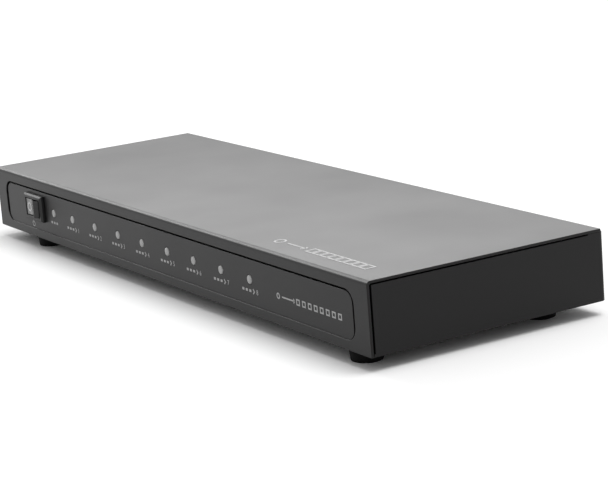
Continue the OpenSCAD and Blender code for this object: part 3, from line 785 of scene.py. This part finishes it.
foot_names = [f"foot_{end}_{side}" for end in ("front", "rear") for side in ("left", "right")]
foot_low, foot_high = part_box(foot_names[0])
foot_r = (foot_high.x - foot_low.x) / 2
foot_h = foot_high.z - foot_low.z
base_r = foot_r - FOOT_TAPER
foot_outline = [(0, FOOT_DISH), (FOOT_DISH_R, FOOT_DISH), (FOOT_DISH_R + FOOT_DISH, 0)]
foot_outline += arc((base_r - FOOT_EDGE, FOOT_EDGE), FOOT_EDGE, -90, 0)
foot_outline += [(foot_r, foot_h), (0, foot_h)]
set_out(
    "rubber_feet", smooth_mesh(spun(foot_outline), "foot"),
    [middle(name) - Vector((0, 0, foot_h / 2)) for name in foot_names],
    "casing", rubber, foot_names,
)

# %% [markdown]
# ## Lamp faces
# The front of each lamp is a milky lens that ends nearly level with the fascia, with a low dome that
# spreads the light. It is spun like a foot, laid on its back and set on the nine lamps.

# %% Lamp faces
LENS_R = 1.5 * MM
LENS_BACK = 0.8 * MM
LENS_RIM = 0.12 * MM
LENS_DOME = 0.32 * MM
dome_r = (LENS_R**2 + (LENS_DOME - LENS_RIM)**2) / (2 * (LENS_DOME - LENS_RIM))
dome_half = math.degrees(math.asin(LENS_R / dome_r))
lens_outline = [(0, -LENS_BACK), (LENS_R, -LENS_BACK)]
lens_outline += arc((0, LENS_DOME - dome_r), dome_r, 90 - dome_half, 90)
lens = smooth_mesh(spun(lens_outline), "lens")
lens.transform(Matrix.Rotation(math.radians(90), 4, "X"))


def lamp_place(name):
    """The middle of a lamp's face on the panel. A lamp is widest and highest at its collar."""
    low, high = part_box(name)
    return Vector((middle(name).x, panel_y, high.z - (high.x - low.x) / 2))


lens_places = [lamp_place(name) for name in lamp_names]
set_out("lamp_faces", lens, lens_places, "casing", lamp_plastic, ())

# %% [markdown]
# ## Screws
# Three sorts of screw hold the box together, all of one size: pan heads with a cross recess. The head is
# spun, and the recess is cut by a Boolean with a tapered cross. The screws differ only in the way they
# point, so the pattern is turned before it is set out.

# %% Screw pattern
HEAD_R = 2.7 * MM
HEAD_H = 1.6 * MM
SHANK_R = 1.45 * MM
SHANK_L = 5 * MM
HEAD_EDGE = 0.9 * MM
CROSS_W = 0.75 * MM
CROSS_L = 3 * MM
CROSS_DEPTH = 1 * MM
CROSS_TAPER = 0.55


def cross_cutter():
    """Two tapered bars that cross on Z, deep at the middle of a head."""
    shape = bmesh.new()
    for turn in (0, math.pi / 2):
        bar = bmesh.ops.create_cube(shape, size=1)["verts"]
        for vert in bar:
            low = vert.co.z < 0
            narrow = CROSS_TAPER if low else 1
            vert.co.x *= CROSS_L * narrow
            vert.co.y *= CROSS_W * narrow
            vert.co.z = HEAD_H - CROSS_DEPTH if low else HEAD_H + CROSS_DEPTH
        bmesh.ops.rotate(shape, verts=bar, cent=(0, 0, 0), matrix=Matrix.Rotation(turn, 3, "Z"))
    return shape


def screw_pattern(turn):
    outline = [(0, -SHANK_L), (SHANK_R / 2, -SHANK_L), (SHANK_R, -SHANK_L + SHANK_R)]
    outline += [(SHANK_R, 0), (HEAD_R, 0)]
    outline += arc((HEAD_R - HEAD_EDGE, HEAD_H - HEAD_EDGE), HEAD_EDGE, 0, 90)
    outline += [(0, HEAD_H)]
    screw = cut(smooth_mesh(spun(outline), "screw"), "screw", cross_cutter())
    screw.transform(turn)
    return screw


UNTURNED = Matrix.Identity(4)
HEAD_BACK = Matrix.Rotation(math.radians(-90), 4, "X")
HEAD_DOWN = Matrix.Rotation(math.radians(180), 4, "X")
print("screw pattern has", len(screw_pattern(UNTURNED).polygons), "faces")


# %% Screws
def lumps(node):
    """The boxes of the separate solids in one node of the frame."""
    shape = bmesh.new()
    shape.from_mesh(nodes[node].data)
    bmesh.ops.remove_doubles(shape, verts=shape.verts, dist=MERGE)
    left = set(shape.verts)
    boxes = []
    while left:
        found, queue = set(), [left.pop()]
        while queue:
            vert = queue.pop()
            found.add(vert)
            near = {edge.other_vert(vert) for edge in vert.link_edges} & left
            left -= near
            queue += near
        boxes.append(box_of([vert.co.copy() for vert in found]))
    shape.free()
    return sorted(boxes, key=lambda pair: tuple(pair[0]))


def seats(node, axis, face):
    """Where the heads of a node's screws sit: the middle of each screw, moved along axis to a face."""
    spots = [(low + high) / 2 for low, high in lumps(node)]
    for spot in spots:
        spot[axis] = face
    return spots


rear_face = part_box("chassis_tray")[1].y
under_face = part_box("top_cover")[0].z
board_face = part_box("main_board")[1].z
rear_seats = seats("cover_rear_screws", 1, rear_face)
under_seats = seats("cover_front_screws", 2, under_face)
board_seats = seats("board_screws", 2, board_face)
set_out(
    "rear_screws", screw_pattern(HEAD_BACK), rear_seats,
    "casing", bright_steel, ["cover_rear_screws"],
)
set_out(
    "under_screws", screw_pattern(HEAD_DOWN), under_seats,
    "casing", black_steel, ["cover_front_screws"],
)
set_out(
    "board_fixings", screw_pattern(UNTURNED), board_seats,
    "casing", bright_steel, ["board_screws"],
)

# %% [markdown]
# ## Sockets
# A socket's shell is thin plated steel bent into a ring with two slanted lower corners. Small leaves are
# pressed inwards from its upper and lower walls and grip the plug. One shell is drawn with rounded
# corners, and the same tree sets it at the nine places along the rear wall.

# %% Socket shells
SHELL_WALL = 0.35 * MM
SHELL_CORNER = 0.7 * MM
SHELL_SLANT = 1.7 * MM
LEAF_START = 1.2 * MM
LEAF_W = 1.7 * MM
LEAF_L = 4.2 * MM
LEAF_X = 3.6 * MM
LEAF_RISE = 0.42 * MM
LEAF_T = 0.2 * MM


def shell_corners(width, height, inset):
    """Corners of the shell's outline, moved inwards by inset."""
    w, h = width / 2 - inset, height / 2 - inset
    half_turn = math.radians(45) / 2
    slant = SHELL_SLANT + SHELL_WALL * math.tan(half_turn) - inset * (2 - math.sqrt(2))
    return [(-w, h), (w, h), (w, -h + slant), (w - slant, -h), (-w + slant, -h), (-w, -h + slant)]


def tube(outer, inner, front, back):
    """A bmesh wall between two outlines in XZ with equal counts, from y = back to y = front."""
    shape = bmesh.new()
    around = ((outer, front), (outer, back), (inner, back), (inner, front))
    loops = [[shape.verts.new((p[0], y, p[1])) for p in ring] for ring, y in around]
    for a, b in zip(loops, loops[1:] + loops[:1]):
        for i in range(len(a)):
            k = (i + 1) % len(a)
            shape.faces.new((a[i], a[k], b[k], b[i]))
    bmesh.ops.recalc_face_normals(shape, faces=shape.faces)
    return shape


def add_leaf(shape, x, wall_z, inwards, steps=8):
    """A bowed strip against the upper or lower wall, with its ends on the wall."""
    half_w, thick = LEAF_W / 2, inwards * LEAF_T
    section = ((-half_w, 0), (half_w, 0), (half_w, thick), (-half_w, thick))
    rows = []
    for i in range(steps + 1):
        share = i / steps
        rise = LEAF_RISE * math.sin(math.pi * share) ** 2
        y = -LEAF_START - LEAF_L * share
        z = wall_z + inwards * rise
        rows.append([shape.verts.new((x + dx, y, z + dz)) for dx, dz in section])
    join_rows(shape, rows)


def shell_pattern(node):
    low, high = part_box(node)
    width, length, height = high - low
    corners = [shell_corners(width, height, inset) for inset in (0, SHELL_WALL)]
    rings = [filleted(c, r) for c, r in zip(corners, (SHELL_CORNER, SHELL_CORNER - SHELL_WALL))]
    shape = tube(*rings, 0, -length)
    inner = height / 2 - SHELL_WALL
    for side in (-1, 1):
        add_leaf(shape, side * LEAF_X, inner, -1)
        add_leaf(shape, side * LEAF_X, -inner, 1)
    bmesh.ops.recalc_face_normals(shape, faces=shape.faces)
    return smooth_mesh(shape, "shell")


def mouth(node):
    """The middle of a shell's mouth, on the rear."""
    place = middle(node)
    place.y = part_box(node)[1].y
    return place


mouths = [mouth(name) for name in shell_names]
set_out(
    "socket_shells", shell_pattern(shell_names[0]), mouths,
    "casing", bright_steel, shell_names,
)

# %% [markdown]
# ## Contacts
# Nineteen gold-plated strips lie on the tongue of each socket: ten on its upper face and nine below,
# half a step aside. A tree lays a line of points, puts a strip on each, and sets both rows into every
# mouth at once.


# %% Contact tree
def contact_tree():
    tree, given = geometry_tree("contact_rows", {
        "Mouths": "Geometry", "Upper count": "Int", "Pitch": "Float", "Strip": "Vector",
        "Upper start": "Vector", "Lower start": "Vector", "Finish": "Material",
    })
    step = add(tree, "ShaderNodeCombineXYZ", {"X": given["Pitch"]}).outputs[0]
    strip = add(tree, "GeometryNodeMeshCube", {"Size": given["Strip"]}).outputs["Mesh"]
    fewer = add(tree, "ShaderNodeMath", {0: given["Upper count"], 1: 1}, operation="SUBTRACT").outputs[0]
    rows = add(tree, "GeometryNodeJoinGeometry")
    for count, start in ((given["Upper count"], "Upper start"), (fewer, "Lower start")):
        ends = {"Count": count, "Start Location": given[start], "Offset": step}
        line = add(tree, "GeometryNodeMeshLine", ends).outputs[0]
        row = add(tree, "GeometryNodeInstanceOnPoints", {"Points": line, "Instance": strip})
        tree.links.new(row.outputs[0], rows.inputs[0])
    set_of_rows = {"Points": given["Mouths"], "Instance": rows.outputs[0]}
    sets = add(tree, "GeometryNodeInstanceOnPoints", set_of_rows)
    end_tree(tree, sets.outputs[0], given["Finish"])
    return tree


contact_rows = contact_tree()
print("tree", contact_rows.name, "ready")

# %% Contacts
UPPER_CONTACTS = 10
CONTACT_PITCH = 1 * MM
STRIP = Vector((0.45, 4.2, 0.08)) * MM
STRIP_BACK = 0.3 * MM
TONGUE_T = 1.1 * MM
tongue_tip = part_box(insert_names[0])[1].y - mouths[0].y
strip_y = tongue_tip - STRIP_BACK - STRIP.y / 2
row_x = -CONTACT_PITCH * (UPPER_CONTACTS - 1) / 2
contact_mesh = run_tree(
    "contacts", contact_rows, mouths, Pitch=CONTACT_PITCH, Strip=STRIP, Finish=gold_plate,
    **{
        "Upper count": UPPER_CONTACTS,
        "Upper start": (row_x, strip_y, TONGUE_T / 2),
        "Lower start": (row_x + CONTACT_PITCH / 2, strip_y, -TONGUE_T / 2),
    },
)
new_piece("socket_contacts", contact_mesh, "casing", gold_plate)
print("contacts:", len(contact_mesh.polygons) // 6)

# %% [markdown]
# ## Spring of the switch
# Behind the rocker a small coil spring presses a plunger against the contact arm. A coil is the plainest
# rule a shape can follow: a spiral curve with a round wire swept along it. The tree takes turns, radius,
# length and wire.

# %% Spring
TURN_STEPS = 40
WIRE_SIDES = 12


def coil_tree():
    tree, given = geometry_tree("coil", {
        "Points": "Geometry", "Turns": "Float", "Radius": "Float", "Length": "Float",
        "Wire": "Float", "Finish": "Material",
    })
    spiral = add(tree, "GeometryNodeCurveSpiral", {
        "Resolution": TURN_STEPS, "Rotations": given["Turns"], "Start Radius": given["Radius"],
        "End Radius": given["Radius"], "Height": given["Length"],
    })
    half_wire = add(tree, "ShaderNodeMath", {0: given["Wire"], 1: 0.5}, operation="MULTIPLY").outputs[0]
    circle = {"Resolution": WIRE_SIDES, "Radius": half_wire}
    section = add(tree, "GeometryNodeCurvePrimitiveCircle", circle).outputs[0]
    sweep = {"Curve": spiral.outputs[0], "Profile Curve": section, "Fill Caps": True}
    wire = add(tree, "GeometryNodeCurveToMesh", sweep)
    end_tree(tree, wire.outputs[0], given["Finish"])
    return tree


SPRING_WIRE = 0.35 * MM
SPRING_R = 1.3 * MM - SPRING_WIRE / 2
SPRING_TURNS = 3.0
SPRING_FRONT = 1.2 * MM
SPRING_L = 3 * MM
rocker_joint = frame["joints"][0]
rocker_tilt = math.radians(rocker_joint["range_deg"][1] / 2)
on_rocker = Matrix.Translation(rocker_joint["pos_m"]) @ Matrix.Rotation(-rocker_tilt, 4, "Z")
spring_mesh = run_tree(
    "spring", coil_tree(), [(0, 0, 0)], Turns=SPRING_TURNS, Radius=SPRING_R,
    Length=SPRING_L - SPRING_WIRE, Wire=SPRING_WIRE, Finish=bright_steel,
)
along_y = Matrix.Rotation(math.radians(-90), 4, "X")
spring_seat = Matrix.Translation((0, SPRING_FRONT + SPRING_WIRE / 2, 0))
spring_mesh.transform(on_rocker @ spring_seat @ along_y)
spring_mesh.shade_smooth()
new_piece("plunger_spring", spring_mesh, "rocker", bright_steel, ["switch_spring"])
print("spring:", len(spring_mesh.polygons), "faces")

# %% [markdown]
# ## Printed signs
# The front carries a number for each output, and plain signs for power and for one signal going to
# eight. The top repeats the last one, the rear numbers its sockets, and the rocker has a ring and a bar.
# Ink has a little thickness, so every sign is a thin solid on its face. Strokes are drawn by one pen of
# a given width, and numerals are text turned into a mesh before it is put in its place.

# %% Numerals and rings
FIGURE_SHARE = 0.7  # height of a numeral, as a share of the size of its font


def add_text(shape, words, height, place):
    """Numerals of a given height about the origin of place."""
    curve = bpy.data.curves.new(words, "FONT")
    curve.body = words
    curve.align_x = "CENTER"
    curve.align_y = "CENTER"
    curve.size = height / FIGURE_SHARE
    curve.extrude = INK_T / 2
    curve.resolution_u = 3
    holder = bpy.data.objects.new(words, curve)
    scene.collection.objects.link(holder)
    view = bpy.context.evaluated_depsgraph_get()
    mesh = bpy.data.meshes.new_from_object(holder.evaluated_get(view))
    bpy.data.objects.remove(holder)
    mesh.transform(place @ Matrix.Translation((0, 0, INK_T / 2)))
    shape.from_mesh(mesh)


def add_ring(shape, centre, radius, width, place, gap=0, steps=32):
    """A ring, or with gap in degrees an arc that is open at the top."""
    if gap:
        add_stroke(shape, arc(centre, radius, 90 + gap / 2, 450 - gap / 2, steps), width, place)
    else:
        add_stroke(shape, arc(centre, radius, 0, 360, steps)[:-1], width, place, closed=True)


def finish_print(shape, name, body, ink_finish):
    bmesh.ops.recalc_face_normals(shape, faces=shape.faces)
    piece = new_piece(name, plain_mesh(shape, name), body, ink_finish)
    print(f"{name}: {len(piece.data.polygons)} faces")


print("print helpers ready")

# %% Signs on the fascia
LABEL_Z = cover_low.z + 8.6 * MM
LABEL_DASHES = 3
FIGURE_H = 1.8 * MM
LABEL_STEP = 2.4 * MM
DASH_L = 1.4 * MM
DASH_W = 0.9 * MM
TIP_W = 0.5 * MM
ARROW_TIP = 0.85 * MM


def add_dashes(shape, first, count, place):
    for k in range(count):
        x = first + k * LABEL_STEP
        add_stroke(shape, [(x - DASH_L / 2, 0), (x + DASH_L / 2, 0)], DASH_W, place)


def add_tip(shape, x, tip, width, place):
    add_stroke(shape, [(x - tip, tip), (x, 0), (x - tip, -tip)], width, place)


front_print = bmesh.new()
for i in outputs:
    place = on_panel(middle(f"output_led_{i}").x, LABEL_Z)
    add_dashes(front_print, -2 * LABEL_STEP, LABEL_DASHES, place)
    add_tip(front_print, LABEL_STEP + ARROW_TIP / 2, ARROW_TIP, TIP_W, place)
    add_text(front_print, str(i), FIGURE_H, place @ Matrix.Translation((2 * LABEL_STEP, 0, 0)))
power_place = on_panel(middle("power_led").x, LABEL_Z)
add_dashes(front_print, -LABEL_STEP, LABEL_DASHES, power_place)

SIGN_X = -111.3 * MM
SIGN_Z = cover_low.z + 5.4 * MM
SIGN_R = 1.1 * MM
SIGN_PEN = 0.42 * MM
SIGN_GAP = 70
STEM_LOW = 0.1 * MM
STEM_HIGH = 1.35 * SIGN_R
sign_place = on_panel(SIGN_X, SIGN_Z)
add_ring(front_print, (0, 0), SIGN_R, SIGN_PEN, sign_place, gap=SIGN_GAP)
add_stroke(front_print, [(0, STEM_LOW), (0, STEM_HIGH)], SIGN_PEN, sign_place)
print("labels for", OUTPUTS, "outputs and the power lamp drawn")

# %% The sign for one to eight
# The first four are shares of the sign's height, the last is a share of its length.
TAIL_START = 1.6
TIP_SIZE = 0.32
FRAME_GAP = 1
FRAME_HALF = 0.4
ARROW_L = 0.2


def add_arrow(shape, start, end, width, tip, place):
    add_stroke(shape, [(start, 0), (end, 0)], width, place)
    add_tip(shape, end, tip, width, place)


def add_one_to_eight(shape, length, height, pen, place):
    """A ring, an arrow, and eight open frames in a row."""
    add_ring(shape, (-length / 2 + height / 2, 0), height / 2 - pen / 2, pen, place)
    tail = -length / 2 + TAIL_START * height
    head = tail + length * ARROW_L
    add_arrow(shape, tail, head, pen, height * TIP_SIZE, place)
    first = head + height * FRAME_GAP
    step = (length / 2 - height / 2 - first) / (OUTPUTS - 1)
    half_w, half_h = height * FRAME_HALF, (height - pen) / 2
    corners = [(-half_w, -half_h), (half_w, -half_h), (half_w, half_h), (-half_w, half_h)]
    for k in range(OUTPUTS):
        spot = first + k * step
        add_stroke(shape, [(spot + x, z) for x, z in corners], pen, place, closed=True)


FRONT_SIGN = (41 * MM, 2.2 * MM, 0.5 * MM)
front_place = on_panel(107.9 * MM, cover_low.z + 10.2 * MM)
add_one_to_eight(front_print, *FRONT_SIGN, front_place)
finish_print(front_print, "front_signs", "casing", ink)

# %% Sign on the top
TOP_SIGN = (59 * MM, 4.6 * MM, 0.7 * MM)
top_print = bmesh.new()
top_place = facing((102 * MM, -36.4 * MM, top_face - INK_T), UP, REAR)
add_one_to_eight(top_print, *TOP_SIGN, top_place)
finish_print(top_print, "top_sign", "casing", ink)

# %% Signs on the rear
NUMERAL_Z = cover_low.z + 16.2 * MM
REAR_FIGURE_H = 2.2 * MM
REAR_PEN = 0.4 * MM
ARROW_HALF = 1.6 * MM
REAR_TIP = 1 * MM
SUPPLY_RISE = 2.4 * MM
SUPPLY_HALF = 1.8 * MM
SUPPLY_GAP = 1 * MM
SUPPLY_STEP = 1.35 * MM
SUPPLY_DASH = 0.9 * MM


def on_rear(node, z):
    return facing((middle(node).x, rear_face, z), REAR, UP)


def add_direct_current(shape, place):
    """The sign for direct current: one long line over three dashes."""
    upper, lower = SUPPLY_GAP / 2, -SUPPLY_GAP / 2
    add_stroke(shape, [(-SUPPLY_HALF, upper), (SUPPLY_HALF, upper)], REAR_PEN, place)
    for spot in (-SUPPLY_STEP, 0, SUPPLY_STEP):
        ends = [(spot - SUPPLY_DASH / 2, lower), (spot + SUPPLY_DASH / 2, lower)]
        add_stroke(shape, ends, REAR_PEN, place)


rear_print = bmesh.new()
for i in outputs:
    add_text(rear_print, str(i), REAR_FIGURE_H, on_rear(f"hdmi_out_{i}_shell", NUMERAL_Z))
pointing_down = Matrix.Rotation(math.radians(-90), 4, "Z")
input_place = on_rear("hdmi_in_shell", NUMERAL_Z) @ pointing_down
add_arrow(rear_print, -ARROW_HALF, ARROW_HALF, REAR_PEN, REAR_TIP, input_place)
add_direct_current(rear_print, on_rear("dc_jack_pin", NUMERAL_Z + SUPPLY_RISE))
finish_print(rear_print, "rear_signs", "casing", ink)

# %% Marks on the rocker
SAME_WAY = 0.9995
MARK_R = 1.6 * MM
MARK_HALF = 1.8 * MM
MARK_PEN = 0.75 * MM


def face_patch(node, direction):
    """Middle of the flat face of a solid that looks along direction."""
    direction = Vector(direction).normalized()
    total, spot = 0, Vector()
    for face in nodes[node].data.polygons:
        if face.normal.dot(direction) > SAME_WAY:
            total += face.area
            spot += face.center * face.area
    return spot / total


rocker_print = bmesh.new()
full_tilt = 2 * rocker_tilt
off_place = facing(face_patch("switch_rocker", FRONT), FRONT, UP)
on_normal = Matrix.Rotation(-full_tilt, 3, "Z") @ FRONT
on_place = facing(face_patch("switch_rocker", on_normal), on_normal, UP)
add_ring(rocker_print, (0, 0), MARK_R, MARK_PEN, off_place)
add_stroke(rocker_print, [(0, -MARK_HALF), (0, MARK_HALF)], MARK_PEN, on_place)
finish_print(rocker_print, "rocker_marks", "rocker", white_ink)
